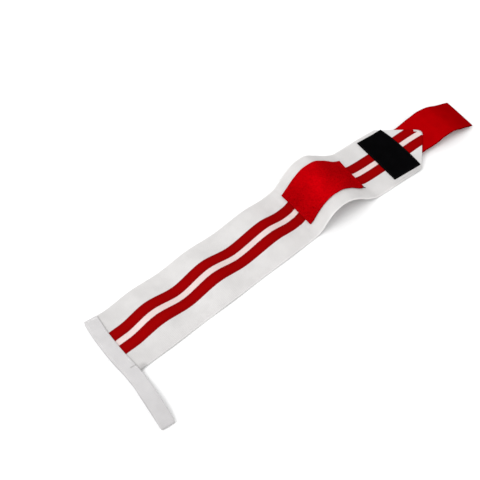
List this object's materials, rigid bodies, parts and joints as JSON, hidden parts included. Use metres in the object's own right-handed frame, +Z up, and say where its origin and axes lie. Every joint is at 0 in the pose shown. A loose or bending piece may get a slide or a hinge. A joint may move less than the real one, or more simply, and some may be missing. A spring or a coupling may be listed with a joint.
{
  "type": "wrist wrap",
  "caption": "Lifter's wrist support lying on a table: striped elastic band with a pointed end, thumb loop, arched plush patch, plain label and a hook tab under the point.",
  "frame": {"origin": "bottom centre of the whole part's box, on the table that it lies on", "axes": "+X along the band from the thumb loop end to the hook tab end, +Y across the band to the edge away from the loop, +Z up from the table"},
  "size_m": [0.4934, 0.1344, 0.0308],
  "materials": {
    "band": "matte woven elastic, off-white with two deep red stripes",
    "tape": "matte woven elastic tape, off-white",
    "plush": "brushed plush loop pile, bright red",
    "label": "close satin weave, black, bare",
    "hook_tape": "smooth woven backing, red, with hooks on its underside"
  },
  "bodies": {
    "root": {"wrap_band": "band", "thumb_loop": "tape", "closure_patch": "plush", "end_label": "label", "hook_tab": "hook_tape"}
  },
  "joints": []
}
